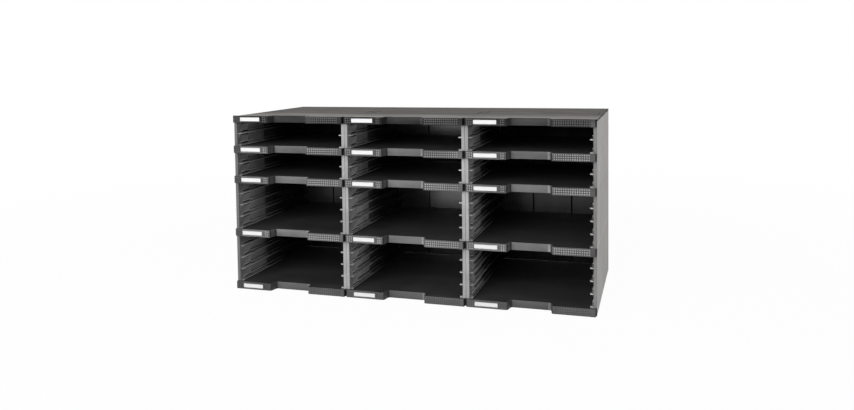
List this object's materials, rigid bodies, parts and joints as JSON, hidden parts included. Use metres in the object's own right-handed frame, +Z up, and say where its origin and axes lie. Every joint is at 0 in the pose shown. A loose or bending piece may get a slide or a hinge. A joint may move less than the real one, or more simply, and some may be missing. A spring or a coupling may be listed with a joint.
{
  "type": "pigeonhole sorter",
  "caption": "Low desktop pigeonhole sorter: dark trays with finger-recessed, labelled lips stacked on railed grey wall segments in side-by-side columns of shallow and tall compartments.",
  "frame": {"origin": "on the floor under the middle of the sorter's box", "axes": "+X to the right along the columns, +Y from the lips to the back, +Z up"},
  "size_m": [0.7226, 0.331, 0.3532],
  "materials": {
    "shelf_tray": "fine-grained moulded polystyrene, dark grey",
    "end_tray": "fine-grained moulded polystyrene, charcoal",
    "wall": "satin moulded polystyrene, light grey",
    "back_panel": "satin polystyrene sheet, grey",
    "label_card": "blank white card",
    "clip": "moulded clip, charcoal"
  },
  "bodies": {
    "sorter": {"left_base_tray": "end_tray", "left_shelf_1_tray": "shelf_tray", "left_shelf_2_tray": "shelf_tray", "left_shelf_3_tray": "shelf_tray", "left_cover_tray": "end_tray", "left_level_1_left_wall": "wall", "left_level_1_right_wall": "wall", "left_level_2_left_wall": "wall", "left_level_2_right_wall": "wall", "left_level_3_left_wall": "wall", "left_level_3_right_wall": "wall", "left_level_4_left_wall": "wall", "left_level_4_right_wall": "wall", "left_back_panel": "back_panel", "middle_base_tray": "end_tray", "middle_shelf_1_tray": "shelf_tray", "middle_shelf_2_tray": "shelf_tray", "middle_shelf_3_tray": "shelf_tray", "middle_cover_tray": "end_tray", "middle_level_1_left_wall": "wall", "middle_level_1_right_wall": "wall", "middle_level_2_left_wall": "wall", "middle_level_2_right_wall": "wall", "middle_level_3_left_wall": "wall", "middle_level_3_right_wall": "wall", "middle_level_4_left_wall": "wall", "middle_level_4_right_wall": "wall", "middle_back_panel": "back_panel", "right_base_tray": "end_tray", "right_shelf_1_tray": "shelf_tray", "right_shelf_2_tray": "shelf_tray", "right_shelf_3_tray": "shelf_tray", "right_cover_tray": "end_tray", "right_level_1_left_wall": "wall", "right_level_1_right_wall": "wall", "right_level_2_left_wall": "wall", "right_level_2_right_wall": "wall", "right_level_3_left_wall": "wall", "right_level_3_right_wall": "wall", "right_level_4_left_wall": "wall", "right_level_4_right_wall": "wall", "right_back_panel": "back_panel", "middle_joining_clip": "clip", "right_joining_clip": "clip"},
    "left_base_label": {"left_base_label": "label_card"},
    "left_shelf_1_label": {"left_shelf_1_label": "label_card"},
    "left_shelf_2_label": {"left_shelf_2_label": "label_card"},
    "left_shelf_3_label": {"left_shelf_3_label": "label_card"},
    "left_cover_label": {"left_cover_label": "label_card"},
    "middle_base_label": {"middle_base_label": "label_card"},
    "middle_shelf_1_label": {"middle_shelf_1_label": "label_card"},
    "middle_shelf_2_label": {"middle_shelf_2_label": "label_card"},
    "middle_shelf_3_label": {"middle_shelf_3_label": "label_card"},
    "middle_cover_label": {"middle_cover_label": "label_card"},
    "right_base_label": {"right_base_label": "label_card"},
    "right_shelf_1_label": {"right_shelf_1_label": "label_card"},
    "right_shelf_2_label": {"right_shelf_2_label": "label_card"},
    "right_shelf_3_label": {"right_shelf_3_label": "label_card"},
    "right_cover_label": {"right_cover_label": "label_card"}
  },
  "joints": [
    {"name": "left_base_label_slide", "type": "slide", "parent": "sorter", "child": "left_base_label", "axis": [0, 0, 1], "range_m": [0, 0.0125]},
    {"name": "left_shelf_1_label_slide", "type": "slide", "parent": "sorter", "child": "left_shelf_1_label", "axis": [0, 0, 1], "range_m": [0, 0.0125]},
    {"name": "left_shelf_2_label_slide", "type": "slide", "parent": "sorter", "child": "left_shelf_2_label", "axis": [0, 0, 1], "range_m": [0, 0.0125]},
    {"name": "left_shelf_3_label_slide", "type": "slide", "parent": "sorter", "child": "left_shelf_3_label", "axis": [0, 0, 1], "range_m": [0, 0.0125]},
    {"name": "left_cover_label_slide", "type": "slide", "parent": "sorter", "child": "left_cover_label", "axis": [0, 0, 1], "range_m": [0, 0.0125]},
    {"name": "middle_base_label_slide", "type": "slide", "parent": "sorter", "child": "middle_base_label", "axis": [0, 0, 1], "range_m": [0, 0.0125]},
    {"name": "middle_shelf_1_label_slide", "type": "slide", "parent": "sorter", "child": "middle_shelf_1_label", "axis": [0, 0, 1], "range_m": [0, 0.0125]},
    {"name": "middle_shelf_2_label_slide", "type": "slide", "parent": "sorter", "child": "middle_shelf_2_label", "axis": [0, 0, 1], "range_m": [0, 0.0125]},
    {"name": "middle_shelf_3_label_slide", "type": "slide", "parent": "sorter", "child": "middle_shelf_3_label", "axis": [0, 0, 1], "range_m": [0, 0.0125]},
    {"name": "middle_cover_label_slide", "type": "slide", "parent": "sorter", "child": "middle_cover_label", "axis": [0, 0, 1], "range_m": [0, 0.0125]},
    {"name": "right_base_label_slide", "type": "slide", "parent": "sorter", "child": "right_base_label", "axis": [0, 0, 1], "range_m": [0, 0.0125]},
    {"name": "right_shelf_1_label_slide", "type": "slide", "parent": "sorter", "child": "right_shelf_1_label", "axis": [0, 0, 1], "range_m": [0, 0.0125]},
    {"name": "right_shelf_2_label_slide", "type": "slide", "parent": "sorter", "child": "right_shelf_2_label", "axis": [0, 0, 1], "range_m": [0, 0.0125]},
    {"name": "right_shelf_3_label_slide", "type": "slide", "parent": "sorter", "child": "right_shelf_3_label", "axis": [0, 0, 1], "range_m": [0, 0.0125]},
    {"name": "right_cover_label_slide", "type": "slide", "parent": "sorter", "child": "right_cover_label", "axis": [0, 0, 1], "range_m": [0, 0.0125]}
  ]
}
